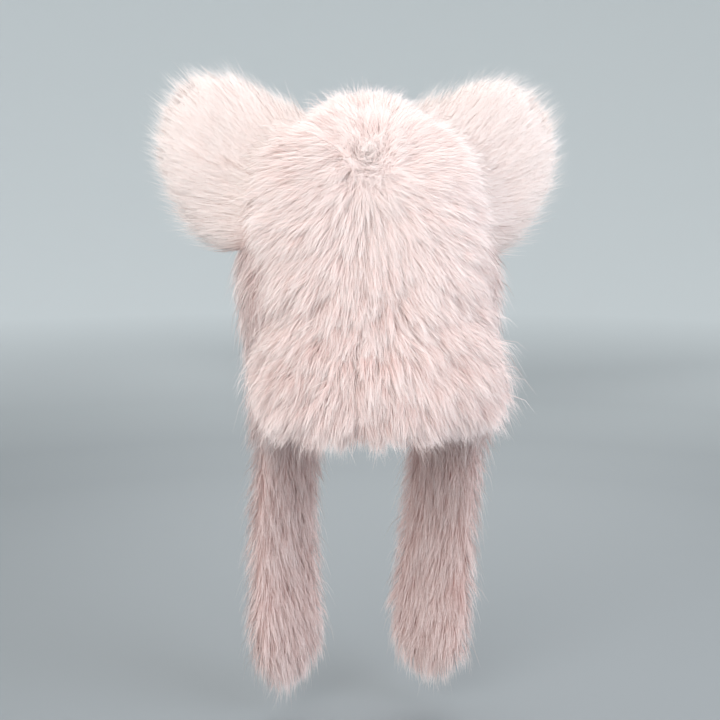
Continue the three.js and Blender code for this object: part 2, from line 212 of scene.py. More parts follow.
def light_panel(name, place, size, power, tint):
    """A square area light that faces the camera's target. Power is in watts."""
    data = bpy.data.lights.new(name, "AREA")
    data.size = size
    data.energy = power
    data.color = colour(tint)[:3]
    data.spread = PANEL_SPREAD
    panel = bpy.data.objects.new(name, data)
    panel.location = place
    panel.rotation_euler = (Vector(place) - TARGET).to_track_quat("Z", "Y").to_euler()
    bpy.context.scene.collection.objects.link(panel)


# %% Four panels and a sky
SKY_STRENGTH = 1.05

light_panel("key_panel", (1.15, 1.55, 0.6), size=1.6, power=20, tint="#FFFDFA")
light_panel("fill_panel", (-1.45, 1.3, 0.5), size=1.6, power=16.5, tint="#F6F9FF")
light_panel("top_panel", (0.0, -0.3, 1.7), size=1.8, power=2, tint="#FFFFFF")
light_panel("front_panel", (-0.5, -1.6, 0.5), size=1.6, power=16, tint="#FFFDFA")

sky = bpy.data.worlds.new("studio_sky")
sky.use_nodes = True
sky_light = sky.node_tree.nodes["Background"]
sky_light.inputs["Color"].default_value = colour("#D6D6D5")
sky_light.inputs["Strength"].default_value = SKY_STRENGTH
bpy.context.scene.world = sky
bpy.context.scene.view_settings.view_transform = "Standard"
print("lights:", [item.name for item in bpy.data.lights])

# %% [markdown]
# ## The forms under the fur
# Each fur piece needs a form for its strands to grow on. They are the forms of the CAD
# model, worked out again from the same few named sizes, in millimetres, with the ears a
# little fuller below. Every form is a function of two numbers, one along the piece and one
# round it, so one helper can lay a grid on it, sow strands on it, or find which way is out.

# %% Smooth reading of a table of sections
def read_column(rows, name, z):
    """A column of a table at many heights, on a smooth curve through its rows."""
    depths = np.array([-row["z"] for row in rows], float)
    values = np.array([row[name] for row in rows], float)
    slopes = np.gradient(values, depths)
    depth = np.clip(-np.asarray(z, float), depths[0], depths[-1])
    place = np.clip(np.searchsorted(depths, depth, side="right") - 1, 0, len(rows) - 2)
    step = depths[place + 1] - depths[place]
    t = (depth - depths[place]) / step
    return (
        (1 + 2 * t) * (1 - t) ** 2 * values[place]
        + t * (1 - t) ** 2 * step * slopes[place]
        + t * t * (3 - 2 * t) * values[place + 1]
        + t * t * (t - 1) * step * slopes[place + 1]
    )


# %% A power that keeps the sign, and a fade between two places
def signed_power(value, exponent):
    return np.sign(value) * np.abs(value) ** exponent


def fade(values, start, end):
    """Rises evenly from 0 at the start to 1 at the end, which may be the lower one."""
    return np.clip((values - start) / (end - start), 0, 1)


# %% Head form, from the top of the crown to the hem
BACKING_WALL = 3
DOME_TOP_Z = 3
DOME_LEVEL_Z = -110
DOME_POWER = 2.15
DOME_TOP_PILE = 27
HEAD_SECTION_POWER = 2.25
HEM_Z = -272
HEAD_ROWS = [
    dict(z=-110, half_width=88, half_depth=100, shift_x=-3, shift_y=0, pile=32),
    dict(z=-150, half_width=90, half_depth=101, shift_x=-8, shift_y=0, pile=33),
    dict(z=-182, half_width=88, half_depth=99, shift_x=-10, shift_y=2, pile=31),
    dict(z=-215, half_width=90, half_depth=100, shift_x=-11, shift_y=4, pile=35),
    dict(z=-248, half_width=95, half_depth=103, shift_x=-12, shift_y=6, pile=36),
    dict(z=-266, half_width=95, half_depth=103, shift_x=-12, shift_y=7, pile=29),
    dict(z=-279, half_width=93, half_depth=101, shift_x=-12, shift_y=8, pile=14),
]
EAR_NOTCH = dict(level=0.44, reach=0.2, depth=0.55, narrowness=4)


def head_form(level, angle, share=0.0, wall=0.0):
    """Points on the head: level 0 is the top, 1 the widest height and 2 the hem.
    Share 0 is the backing and 1 the outside of the fur; wall is a plain offset in mm."""
    level, angle = np.broadcast_arrays(np.asarray(level, float), np.asarray(angle, float))
    dome = np.minimum(level, 1)
    spread = np.sin(dome * np.pi / 2) ** (2 / DOME_POWER)
    rise = np.maximum(np.cos(dome * np.pi / 2), 0) ** (2 / DOME_POWER)
    wall_z = DOME_LEVEL_Z + np.maximum(level - 1, 0) * (HEAD_ROWS[-1]["z"] - DOME_LEVEL_Z)
    size = {name: read_column(HEAD_ROWS, name, wall_z) for name in HEAD_ROWS[0] if name != "z"}
    pile = DOME_TOP_PILE + (size["pile"] - DOME_TOP_PILE) * dome
    by_ear = np.exp(-(((dome - EAR_NOTCH["level"]) / EAR_NOTCH["reach"]) ** 2))
    notch = EAR_NOTCH["depth"] * by_ear * np.cos(angle) ** EAR_NOTCH["narrowness"]
    pile = pile * (1 - notch)
    added = share * pile + wall
    top = DOME_TOP_Z - DOME_LEVEL_Z + added
    round_x = signed_power(np.cos(angle), 2 / HEAD_SECTION_POWER)
    round_y = signed_power(np.sin(angle), 2 / HEAD_SECTION_POWER)
    return np.stack([
        size["shift_x"] * spread + (size["half_width"] + added) * spread * round_x,
        size["shift_y"] * spread + (size["half_depth"] + added) * spread * round_y,
        np.where(level < 1, DOME_LEVEL_Z + top * rise, wall_z),
    ], axis=-1)


# %% Ear form, on its sloping seat
EAR_SLOPE = math.radians(34.9)
EAR_MIDDLE = np.array([84.0, -5.0, -60.0])
EAR_BASE_LIFT = 4.7
EAR_ROOT_DEPTH = 12
EAR_PILE = 27
EAR_TOP_FLARE = 0.14
EAR_ROOT_FLARE = 1.2
EAR_LOWER_FULLNESS = 14  # the fur lies flatter on the lower side, so the pad is fuller there
EAR_HALF_THICKNESS = 15
EAR_SECTION_POWER = 0.85
EAR_RIM_POWER = 3
EAR_FLARE_POWER = 4  # how fast the flare at the ear's root dies away
EAR_SIZES = {
    "left": dict(half_base=84, height=126, upper_power=4.2, lower_power=2.05, sign=1),
    "right": dict(half_base=88, height=125, upper_power=3.2, lower_power=2.35, sign=-1),
}
EAR_AXES = np.array([
    [math.cos(EAR_SLOPE), 0, math.sin(EAR_SLOPE)],
    [0, 1, 0],
    [-math.sin(EAR_SLOPE), 0, math.cos(EAR_SLOPE)],
])


def ear_form(side, rim_share, angle):
    """Points on the padded ear in its seat frame: out, across and up."""
    ear = EAR_SIZES[side]
    level = 1 - (1 - rim_share) ** 2  # rows lie closer together towards the rim
    flare = (1 - level) ** EAR_FLARE_POWER
    height = ear["height"] - EAR_PILE
    half_base = ear["half_base"] - EAR_PILE
    upper = half_base * (1 - level ** ear["upper_power"]) ** (1 / ear["upper_power"])
    upper = upper * (1 + EAR_TOP_FLARE * flare)
    lower_base = half_base + EAR_LOWER_FULLNESS
    lower = lower_base * (1 - level ** ear["lower_power"]) ** (1 / ear["lower_power"])
    thickness = EAR_HALF_THICKNESS * (1 - level ** EAR_RIM_POWER) ** (1 / EAR_RIM_POWER)
    thickness = thickness * (1 + EAR_ROOT_FLARE * flare)
    round_up = signed_power(np.cos(angle), EAR_SECTION_POWER)
    return np.stack([
        EAR_BASE_LIFT - EAR_ROOT_DEPTH + level * (height + EAR_ROOT_DEPTH),
        thickness * signed_power(np.sin(angle), EAR_SECTION_POWER),
        (upper - lower) / 2 + (upper + lower) / 2 * round_up,
    ], axis=-1)


# %% Flap form, from under the ear to its free end
# Left and right say how far out sideways a flap's middle lies. Depth is half its thickness,
# turn is in degrees, and bend curls its back edge in.
FLAP_PILE = 10
FLAP_SECTION_POWER = 2.4
FLAP_ROWS = [
    dict(z=-108, left=94, right=104, y=-14, half_width=78, depth=25, turn=13, bend=26),
    dict(z=-150, left=96, right=112, y=-14, half_width=80, depth=26, turn=14, bend=26),
    dict(z=-200, left=90, right=111, y=-17, half_width=78, depth=26, turn=16, bend=24),
    dict(z=-240, left=84, right=111, y=-22, half_width=77, depth=25, turn=20, bend=20),
    dict(z=-270, left=78, right=110, y=-34, half_width=72, depth=24, turn=27, bend=12),
    dict(z=-325, left=67, right=108, y=-72, half_width=50, depth=24, turn=41, bend=0),
    dict(z=-380, left=69, right=108, y=-88, half_width=48, depth=23, turn=48, bend=0),
    dict(z=-480, left=70, right=103, y=-102, half_width=48, depth=23, turn=53, bend=0),
    dict(z=-560, left=68, right=99, y=-105, half_width=49, depth=23, turn=54, bend=0),
    dict(z=-586, left=68, right=99, y=-105, half_width=42, depth=20, turn=54, bend=0),
    dict(z=-602, left=68, right=99, y=-105, half_width=26, depth=14, turn=54, bend=0),
]


def flap_form(side, fall, angle):
    """Points on a flap. Fall runs from 0 at its top to 1 at its free end."""
    top_z = FLAP_ROWS[0]["z"]
    z = top_z + fall * (FLAP_ROWS[-1]["z"] - top_z)
    turn = np.radians(read_column(FLAP_ROWS, "turn", z))
    share = signed_power(np.cos(angle), 2 / FLAP_SECTION_POWER)
    along = (read_column(FLAP_ROWS, "half_width", z) - FLAP_PILE) * share
    bent = read_column(FLAP_ROWS, "bend", z) * np.maximum(share, 0) ** 2
    depth = read_column(FLAP_ROWS, "depth", z) - FLAP_PILE
    out = depth * signed_power(np.sin(angle), 2 / FLAP_SECTION_POWER) - bent
    return np.stack([
        read_column(FLAP_ROWS, side, z) + out * np.cos(turn) + along * np.sin(turn),
        read_column(FLAP_ROWS, "y", z) - out * np.sin(turn) + along * np.cos(turn),
        z + 0 * out,
    ], axis=-1)


# %% [markdown]
# ## Tools that work on any form
# A grid of points gives a closed skin, and the skin answers one question that combing
# needs: where is the nearest place on the piece, and which way is out there? Strands are
# sown by area, so that the pile is equally dense on the flat and on the tight curves.

# %% A unit vector, and the outward direction on a form
def unit(vectors):
    length = np.linalg.norm(vectors, axis=-1, keepdims=True)
    return vectors / np.maximum(length, 1e-9)


NUDGE = 0.004  # a small step along either of a form's two numbers


def outward(form, first, second):
    """Unit normals of a form that closes round the second number."""
    here = form(first, second)
    back = form(np.maximum(first - NUDGE, 0), second)
    around = form(first, second + NUDGE)
    normal = unit(np.cross(here - back, around - here))
    middle = (here + form(first, second + np.pi)) / 2
    facing = np.sum(normal * (here - middle), axis=-1, keepdims=True)
    return np.where(facing < 0, -normal, normal)


# %% A grid over a form
def grid_over(form, first_values, sides):
    """Points of a grid, and its four-sided faces, turned to face outwards."""
    angles = np.linspace(0, 2 * np.pi, sides, endpoint=False)
    first, second = np.meshgrid(first_values, angles, indexing="ij")
    points = form(first, second)
    rows = np.arange(len(first_values) - 1)[:, None] * sides
    columns = np.arange(sides)[None, :]
    following = (columns + 1) % sides
    faces = np.stack([
        rows + columns, rows + following, rows + sides + following, rows + sides + columns,
    ], axis=-1).reshape(-1, 4)
    points = points.reshape(-1, 3)
    corner = points[faces] - points.mean(axis=0)
    volume = np.sum(corner[:, 0] * np.cross(corner[:, 1], corner[:, 2]))
    volume += np.sum(corner[:, 0] * np.cross(corner[:, 2], corner[:, 3]))
    return points, faces if volume > 0 else faces[:, ::-1]


# %% Sow roots evenly over a form
SOWING_LINES = 181


def everywhere(points):
    """The same density all over a form."""
    return np.ones(points.shape[:-1])


def sow(form, first_values, count, rng, density):
    """Random roots spread by area and density, with their normals and the area in all."""
    angles = np.linspace(0, 2 * np.pi, SOWING_LINES)
    first, second = np.meshgrid(first_values, angles, indexing="ij")
    points = form(first, second)
    down_edge = points[1:, :-1] - points[:-1, :-1]
    side_edge = points[:-1, 1:] - points[:-1, :-1]
    area = np.linalg.norm(np.cross(down_edge, side_edge), axis=-1)
    area *= density((points[1:, 1:] + points[:-1, :-1]) / 2)
    cells = rng.choice(area.size, size=count, p=(area / area.sum()).ravel())
    row, column = np.unravel_index(cells, area.shape)
    step = first_values[row + 1] - first_values[row]
    along = first_values[row] + rng.random(count) * step
    angle = angles[column] + rng.random(count) * (angles[1] - angles[0])
    return form(along, angle), outward(form, along, angle), area.sum()


# %% The nearest place on a skin
def nearest_on(skin, points):
    """For each point, the nearest point of a skin and the way out there."""
    found = np.empty((len(points), 6))
    for index, point in enumerate(points.tolist()):
        place, normal, _, _ = skin.find_nearest(point)
        found[index, :3] = place
        found[index, 3:] = normal
    return found[:, :3], found[:, 3:]


def skin_of(points, faces):
    return BVHTree.FromPolygons(points.tolist(), faces.tolist())


# %% The outside of the backing, which no piece may pass through
BACKING_CLEARANCE = 1.5
BELOW_HEM = 4  # this far below the hem there is nothing left to stay clear of
HEAD_SIDES = 96

head_levels = np.linspace(0.02, 2, 60)
backing_points, backing_faces = grid_over(
    lambda level, angle: head_form(level, angle, wall=BACKING_CLEARANCE),
    head_levels, HEAD_SIDES,
)
backing_skin = skin_of(backing_points, backing_faces)


def clear_of_backing(points):
    """Moves points that lie inside the head out to the face of the backing."""
    place, normal = nearest_on(backing_skin, points)
    depth = np.sum((points - place) * normal, axis=-1, keepdims=True)
    hanging = points[:, 2:] < HEM_Z - BELOW_HEM
    return np.where((depth < 0) & ~hanging, place, points)


print("backing skin:", len(backing_faces), "faces")


# %% [markdown]
# ## Combing
# A strand is a curve through three points: its root in the ground cloth, a middle that has
# risen from it, and a tip that lies back along the piece. The nap says which way it lies.
# Real pile isn't even: neighbours cling together in wisps, and wisps in tufts, with a
# darker gap between. So each strand is drawn part of the way to the tip of its wisp, and
# each wisp to that of its tuft, and each tuft is turned and lifted a little by chance.

# %% Turn directions about the way out
def turned_about(flow, normal, degrees):
    turn = np.radians(degrees)[:, None]
    return unit(flow * np.cos(turn) + np.cross(normal, flow) * np.sin(turn))


# %% Group the strands round the first few of them
def group_ids(roots, count):
    """The first roots act as middles. Each strand gets the number of the nearest."""
    tree = KDTree(count)
    for index, root in enumerate(roots[:count].tolist()):
        tree.insert(root, index)
    tree.balance()
    return np.array([tree.find(root)[1] for root in roots.tolist()])


# %% Chance that a strand shares with its tuft and its wisp
# Each table has a row for the tuft, one for the wisp and one for the strand itself.
SWING_SPREADS = (0.8, 1, 1)
TONE_SPREADS = (0.08, 0.1, 0.25)
REACH_RANGES = ((0.85, 1.1), (0.8, 1.12), (0.78, 1.08))
LIFT_RANGES = ((0.72, 1.12), (0.8, 1.15), (0.5, 1.2))


def shared_sum(rng, spreads, groups):
    """For each strand, the sum of what chance gives its tuft, its wisp and itself."""
    total = 0
    for spread, (ids, count) in zip(spreads, groups):
        total = total + rng.normal(0, spread, count)[ids]
    return total


def shared_product(rng, ranges, groups):
    """For each strand, the product of what chance gives its tuft, its wisp and itself."""
    product = 1
    for (low, high), (ids, count) in zip(ranges, groups):
        product = product * rng.uniform(low, high, count)[ids]
    return product


# %% Values for the guard strands and for the pull of the groups
GUARD_SHARE = 0.2  # long single strands that stand out past the rest
GUARD_REACH_FROM = 1.1
GUARD_LIFT = (1.0, 1.7)
# Painted light: guard strands are painted paler, for the glow of the halo where light passes
# through them.
GUARD_PAINTED_LIGHT = 0.25
GUARD_WIDTH = 0.7
GUARD_ROLL = 2.0
GUARD_HOLD = 0.5  # how firmly the groups hold them, against the rest
ROLL = 0.4  # how much the ribbons turn about their own length
REACH_LIMIT = 1.65  # no strand is longer than this many times the pile's length
MIDDLE_LIFT = 0.75  # how much of its height a strand has reached half way along
MIDDLE_PULL = 0.4  # how much of the pull on the tip its middle feels
PULL_CHANCE = (0.4, 1.25)
PULL_LIMIT = 0.9
WIDTH_CHANCE = (0.75, 1.2)


# %% Comb the strands of a piece
def comb(roots, normals, nap, length, height, rng, area, *, pull, tuft_mm, wisp_mm, stray,
         tumble=0.0, mottle=1.0, guard_reach=1.5, skin=None, hug=None, fall=0.0):
    """Roots, middles and tips, with each strand's way out, tone, width factor and roll.
    Pull is that of the wisp and of the tuft, and stray and tumble are in degrees. With a
    skin, strands follow it by the share that hug gives. Fall lets their tips sink."""
    count = len(roots)
    tufts = min(count, int(area / tuft_mm ** 2))
    wisps = min(count, int(area / wisp_mm ** 2))
    tuft = group_ids(roots, tufts)
    wisp = group_ids(roots, wisps)
    groups = ((tuft, tufts), (wisp, wisps), (slice(None), count))
    guard = rng.random(count) < GUARD_SHARE
    swing = stray * shared_sum(rng, SWING_SPREADS, groups)
    swing += rng.normal(0, 1, wisps)[wisp] * tumble
    reach = length * shared_product(rng, REACH_RANGES, groups)
    reach = np.where(guard, reach * rng.uniform(GUARD_REACH_FROM, guard_reach, count), reach)
    reach = np.minimum(reach, REACH_LIMIT * length)[:, None]
    lift = height * shared_product(rng, LIFT_RANGES, groups)
    lift = np.where(guard, lift * rng.uniform(*GUARD_LIFT, count), lift)[:, None]
    flow = turned_about(nap(roots, normals), normals, swing)
    out = normals
    middles = roots + flow * reach * 0.5 + normals * lift * MIDDLE_LIFT
    tips = roots + flow * reach + normals * lift
    if skin is not None:
        place, out = nearest_on(skin, roots + flow * reach * 0.5)
        middles += (place + out * lift * MIDDLE_LIFT - middles) * hug[:, None]
        onward = turned_about(nap(place, out), out, swing)
        place, out = nearest_on(skin, place + onward * reach * 0.5)
        tips += (place + out * lift - tips) * hug[:, None]
    tips[:, 2] -= fall * reach[:, 0]
    for strength, (ids, number) in zip(pull, ((wisp, wisps), (tuft, tufts))):
        held = (strength * rng.uniform(*PULL_CHANCE, number)[ids])[:, None]
        held = np.where(guard[:, None], held * GUARD_HOLD, np.minimum(held, PULL_LIMIT))
        tips += (tips[ids] - tips) * held
        middles += (middles[ids] - middles) * held * MIDDLE_PULL
    tone = mottle * shared_sum(rng, TONE_SPREADS, groups)
    # Painted light: paler guard strands for the glowing halo.
    tone += np.where(guard, GUARD_PAINTED_LIGHT, 0)
    factor = np.where(guard, GUARD_WIDTH, 1.0) * rng.uniform(*WIDTH_CHANCE, count)
    roll = np.where(guard, GUARD_ROLL, ROLL) * rng.normal(0, 1, count)
    return roots, middles, tips, unit(normals + out), tone, factor, roll


# %% [markdown]
# ## Ribbons
# A fibre of real pile is about 0.05 mm thick, far too fine to show here. So a strand is a
# ribbon 0.4 mm wide, a bit under half a pixel, which stands for a dozen fibres that cling
# together. Each has two lengths that narrow to a point: a four-sided face and a triangle.
# Two numbers are stored on its points for the material to read: how far along the strand
# the point is, and the strand's own tone. The map for baking uses the same two numbers,
# so strands that share a place on it also share their colour.

# %% One mesh object from arrays
MM = 0.001
triangle_counts = {}


def mesh_object(name, points, corners, starts):
    """Points are in mm. Starts says where each face begins in the list of corners."""
    mesh = bpy.data.meshes.new(name)
    mesh.vertices.add(len(points))
    mesh.vertices.foreach_set("co", (points * MM).astype(np.float32).ravel())
    mesh.loops.add(len(corners))
    mesh.loops.foreach_set("vertex_index", corners.astype(np.int32))
    mesh.polygons.add(len(starts))
    mesh.polygons.foreach_set("loop_start", starts.astype(np.int32))
    mesh.polygons.foreach_set("use_smooth", np.full(len(starts), True))
    mesh.update(calc_edges=True)
    made = bpy.data.objects.new(name, mesh)
    bpy.context.scene.collection.objects.link(made)
    return made


# %% The shape of one ribbon: a pair of points at its root, a pair half way, and its tip
RIBBON_WIDTHS = np.array([1.0, 0.8])  # at the root and half way
RIBBON_ALONG = np.array([0.0, 0.0, 0.5, 0.5, 1.0])
RIBBON_SIDES = np.array([-1, 1, -1, 1, 0])
RIBBON_CORNERS = np.array([0, 1, 3, 2, 2, 3, 4])
RIBBON_STARTS = np.array([0, 4])
RIBBON_TRIANGLES = 3
ROLL_SHADE = 0.4  # how much a ribbon's roll about its own length shows in its shading
ROLL_HARDENING = 0.5  # how much less softly a ribbon that has rolled is shaded
MAP_EDGE = 0.02  # on the baking map, where tone runs across and the strand runs up
MAP_ACROSS = 0.95
MAP_UP = 0.96
MAP_STRIP = 0.008


# %% All the ribbons of a piece
def ribbons(name, strands, width, base_tone, softness, material, node):
    """Makes the strands of a piece, and hides the model's node that they stand for. At softness 1
    a ribbon that lies flat is shaded as the surface below it, and at 0 as itself."""
    roots, middles, tips, out, tone, factor, roll = strands
    count = len(roots)
    flow = unit(tips - roots)
    upright = unit(out - flow * np.sum(out * flow, axis=-1, keepdims=True))
    across = unit(np.cross(flow, upright) + upright * roll[:, None])
    half = 0.5 * width * factor[:, None, None] * RIBBON_WIDTHS[None, :, None] * across[:, None]
    spine = np.stack([roots, middles], axis=1)
    points = np.empty((count, len(RIBBON_ALONG), 3))
    points[:, 0:4:2] = spine - half
    points[:, 1:4:2] = spine + half
    points[:, 4] = tips
    numbers = np.arange(count)[:, None]
    corners = (numbers * len(RIBBON_ALONG) + RIBBON_CORNERS).ravel()
    starts = (numbers * len(RIBBON_CORNERS) + RIBBON_STARTS).ravel()
    fur = mesh_object(name, points.reshape(-1, 3), corners, starts)
    along = np.tile(RIBBON_ALONG, count)
    level = np.repeat(np.clip(base_tone + tone, 0, 1), len(RIBBON_ALONG))
    for attribute, values in (("along", along), ("tone", level)):
        layer = fur.data.attributes.new(attribute, "FLOAT", "POINT")
        layer.data.foreach_set("value", values.astype(np.float32))
    side = np.tile(RIBBON_SIDES, count)
    bake = fur.data.uv_layers.new(name="OFBake")
    map_x = MAP_EDGE + MAP_ACROSS * level + MAP_STRIP * side
    map_y = MAP_EDGE + MAP_UP * along
    places = np.stack([map_x, map_y], axis=-1)
    bake.data.foreach_set("uv", places[corners].astype(np.float32).ravel())
    own = unit(upright + ROLL_SHADE * np.cross(across, flow))
    softness = softness / (1 + ROLL_HARDENING * np.abs(roll[:, None]))
    facing = np.repeat(unit(softness * out + (1 - softness) * own), len(RIBBON_ALONG), axis=0)
    fur.data.normals_split_custom_set_from_vertices(facing)
    fur.data.materials.append(material)
    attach(fur, "root")
    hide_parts(node)
    triangle_counts[name] = count * RIBBON_TRIANGLES
    print(name, count, "strands,", triangle_counts[name], "triangles")


# %% [markdown]
# ## Fur fibre
# The pile is modacrylic, an acrylic fibre that is extruded, crimped and brushed out. It is
# soft and nearly matt, with a faint silky gleam, and light soaks through it. That is why
# its tips look almost white, and the depth between the tufts is a warm rose brown. Each
# material has a pale and a deep set of colours from root to tip, and a strand's tone chooses
# between them. Both sets paint that light in: the deeper root is painted shade, and the near
# white tip is painted light. An acrylic fibre has an IOR near 1.5.

# %% A fur material from its colours
ACRYLIC_IOR = 1.5
PILE_ROUGHNESS = 0.75
ROOT_ROUGHNESS = 0.85
TIP_ROUGHNESS = 0.62
MIDDLE_COLOURS_AT = (0.38, 0.72)  # how far along the strand the two middle colours lie


def fibre(name, pale, deep, sheen):
    """Colours run from root to tip. Tone 1 is the pale set and tone 0 the deep one."""
    material, tree, shader = new_material(name, PILE_ROUGHNESS, ACRYLIC_IOR, sheen)
    along = add_node(tree, "Attribute", {"attribute_name": "along"})
    tone = add_node(tree, "Attribute", {"attribute_name": "tone"})
    ramps = []
    # Painted light and shade: each ramp runs from a deeper root, painted shade of the pile's
    # depth, to a near white tip, painted light where light soaks through.
    for shades in (deep, pale):
        ramp = add_node(tree, "ValToRGB", Fac=along.outputs["Fac"])
        stops = ramp.color_ramp.elements
        stops[0].position = 0.0
        stops[0].color = colour(shades[0])
        stops[1].position = 1.0
        stops[1].color = colour(shades[3])
        for place, shade in zip(MIDDLE_COLOURS_AT, shades[1:3]):
            stops.new(place).color = colour(shade)
        ramps.append(ramp.outputs["Color"])
    mixed = add_node(
        tree, "Mix", {"data_type": "RGBA"}, Factor=tone.outputs["Fac"], _6=ramps[0], _7=ramps[1]
    )
    tree.links.new(mixed.outputs[2], shader.inputs["Base Color"])
    gloss = add_node(
        tree, "MapRange", _0=along.outputs["Fac"], _3=ROOT_ROUGHNESS, _4=TIP_ROUGHNESS
    )
    tree.links.new(gloss.outputs["Result"], shader.inputs["Roughness"])
    return material


# %% The rose pile, with a paler copy as painted light for the ears and a deeper one as painted shade for the flaps
crown_pile = fibre(
    "modacrylic_pile_rose",
    pale=["#F0D0C9", "#F8E3DE", "#FBEEEB", "#FEF9F7"],
    deep=["#BA877E", "#D6AFA8", "#E4C7C1", "#F0DDD9"],
    sheen=0.3,
)
# Painted light: the ears are the same rose fur, painted paler where light falls on them and soaks
# through.
ear_pile_painted_light = fibre(
    "modacrylic_pile_painted_light",
    pale=["#F8DED7", "#FBEAE5", "#FCF1ED", "#FEF9F7"],
    deep=["#EFD0C8", "#F7E1DB", "#FAECE8", "#FDF6F3"],
    sheen=0.5,
)
# Painted shade: the flaps are the same rose fur, painted deeper where they hang in shade.
flap_pile_painted_shade = fibre(
    "modacrylic_pile_painted_shade",
    pale=["#DDB8B1", "#EDD7D3", "#F5E7E4", "#FBF5F3"],
    deep=["#B38A82", "#CFAEA8", "#DDC2BD", "#ECDAD7"],
    sheen=0.3,
)
print("pile:", crown_pile.name, ear_pile_painted_light.name, flap_pile_painted_shade.name)

# %% Knitted ground cloth under the pile, with a paler copy as painted light for the ears
CLOTH_PATCHES = 90.0  # across the whole piece, so each is a few millimetres wide
CLOTH_RELIEF = 0.0008


def knitted_cloth(name, dark, light):
    """Brushed acrylic knit. It is matt, and mottled where the pile is rooted in it."""
    material, tree, shader = new_material(name, roughness=0.9, ior=ACRYLIC_IOR, sheen=0.2)
    noise = add_node(tree, "TexNoise", Scale=CLOTH_PATCHES, Detail=4.0)
    height = noise.outputs["Fac"]
    tint = add_node(
        tree, "Mix", {"data_type": "RGBA"}, Factor=height, _6=colour(dark), _7=colour(light)
    )
    bump = add_node(tree, "Bump", Strength=0.5, Distance=CLOTH_RELIEF, Height=height)
    tree.links.new(tint.outputs[2], shader.inputs["Base Color"])
    tree.links.new(bump.outputs["Normal"], shader.inputs["Normal"])
    return material


ground_cloth = knitted_cloth("knitted_ground_cloth", "#C2938B", "#DDB3AC")
# Painted light: the ears' ground cloth is the same cloth as the crown's, painted paler.
ear_cloth_painted_light = knitted_cloth("knitted_cloth_painted_light", "#EBCFC7", "#F6E0DA")
print("ground cloth:", ground_cloth.name, ear_cloth_painted_light.name)

# %% [markdown]
# ## Ground cloth of the crown
# The fur's ground cloth follows the head form, and it is cut away at the face opening and
# where the flaps hang. Here it lies nearly half way out through the pile, so that fewer and
# shorter strands can fill what shows. A grid with the cut faces left out is enough, because
# the strands cover its edges. A Solidify modifier gives it thickness.

# %% Where the crown has fur
FACE_HALF_WIDTH = 64
FACE_TOP_Z = -58
FACE_ARCH_RISE = 58
FACE_BACK_Y = -12
FLAP_TOP_Z = -112
SEAM_TOP_Y = 54
SEAM_HEM_Y = 46


def in_face_opening(points):
    x, y, z = np.moveaxis(points, -1, 0)
    spring_z = FACE_TOP_Z - FACE_ARCH_RISE
    arch_top = np.sqrt(np.maximum(1 - (x / FACE_HALF_WIDTH) ** 2, 0))
    below_arch = z < spring_z + FACE_ARCH_RISE * arch_top
    return (y < FACE_BACK_Y) & (np.abs(x) < FACE_HALF_WIDTH) & below_arch


def under_flap(points):
    x, y, z = np.moveaxis(points, -1, 0)
    seam_y = SEAM_TOP_Y + (SEAM_HEM_Y - SEAM_TOP_Y) * fade(z, FLAP_TOP_Z, HEM_Z)
    return (z < FLAP_TOP_Z) & (y < seam_y)


def crown_has_fur(points):
    return ~in_face_opening(points) & ~under_flap(points)


# %% A skin object from a grid
def skin_object(name, points, faces, material, node, thickness_mm):
    """Cloth over four-sided faces, thickened inwards."""
    corners = faces.ravel()
    skin = mesh_object(name, points, corners, np.arange(0, len(corners), 4))
    solidify = skin.modifiers.new("thickness", "SOLIDIFY")
    solidify.thickness = thickness_mm * MM
    solidify.offset = -1
    skin.data.materials.append(material)
    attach(skin, "root")
    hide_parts(node)
    triangle_counts[name] = len(faces) * 4
    print(name, triangle_counts[name], "triangles with its thickness")
    return skin


# %% Ground cloth of the crown
CROWN_SKIN_SHARE = 0.45  # how far out through the pile it lies
NEAR_TOP = 0.01  # rows start just below the very top, where their points would meet


def crown_form(level, angle):
    return head_form(level, angle, CROWN_SKIN_SHARE)


crown_levels = np.linspace(NEAR_TOP, 2, 70)
crown_points, crown_faces = grid_over(crown_form, crown_levels, HEAD_SIDES)
crown_skin = skin_of(crown_points, crown_faces)
centres = crown_points[crown_faces].mean(axis=1)
kept = crown_faces[crown_has_fur(centres)]
skin_object(
    "crown_ground", crown_points, kept, ground_cloth, "crown_fur", thickness_mm=6
)

# %% [markdown]
# ## Fur of the crown
# The nap of the crown starts from a whorl high on the back, where the fur parts in every
# direction, as at the crown of a head. From there it runs down the back panel and fans out
# sideways to the seams, and over the top to the forehead.

# %% The nap of the crown
WHORL = nearest_on(crown_skin, np.array([[9.0, 110.0, -30.0]]))[0][0]
WHORL_REACH = 26
WHORL_SWIRL = 60  # degrees that the fur turns round the whorl at its middle
SIDEWAYS_SPREAD = 1.45
HEM_SPREAD = 0.5
FLAP_EDGE_REACH = 28
FLAP_EDGE_FALL = 160


def above_flap(points):
    """How near a place is to the edge of the crown's fur over a flap."""
    x, y, z = np.moveaxis(points, -1, 0)
    return np.exp(-(((z - FLAP_TOP_Z) / FLAP_EDGE_REACH) ** 2)) * (y < SEAM_TOP_Y)


def crown_nap(points, normals):
    ray = points - WHORL
    ray[:, 0] *= SIDEWAYS_SPREAD + HEM_SPREAD * fade(points[:, 2], -190, -270)
    ray[:, 2] -= FLAP_EDGE_FALL * above_flap(points)
    swirl = WHORL_SWIRL * np.exp(-np.linalg.norm(points - WHORL, axis=-1) / WHORL_REACH)
    ray -= normals * np.sum(ray * normals, axis=-1, keepdims=True)
    return turned_about(unit(ray), normals, swirl)


# %% Sow the crown
CROWN_SEED = 11
WHORL_DENSITY = 5.0
STRAND_SHARE = 1.0
CROWN_STRANDS = int(155000 * STRAND_SHARE)


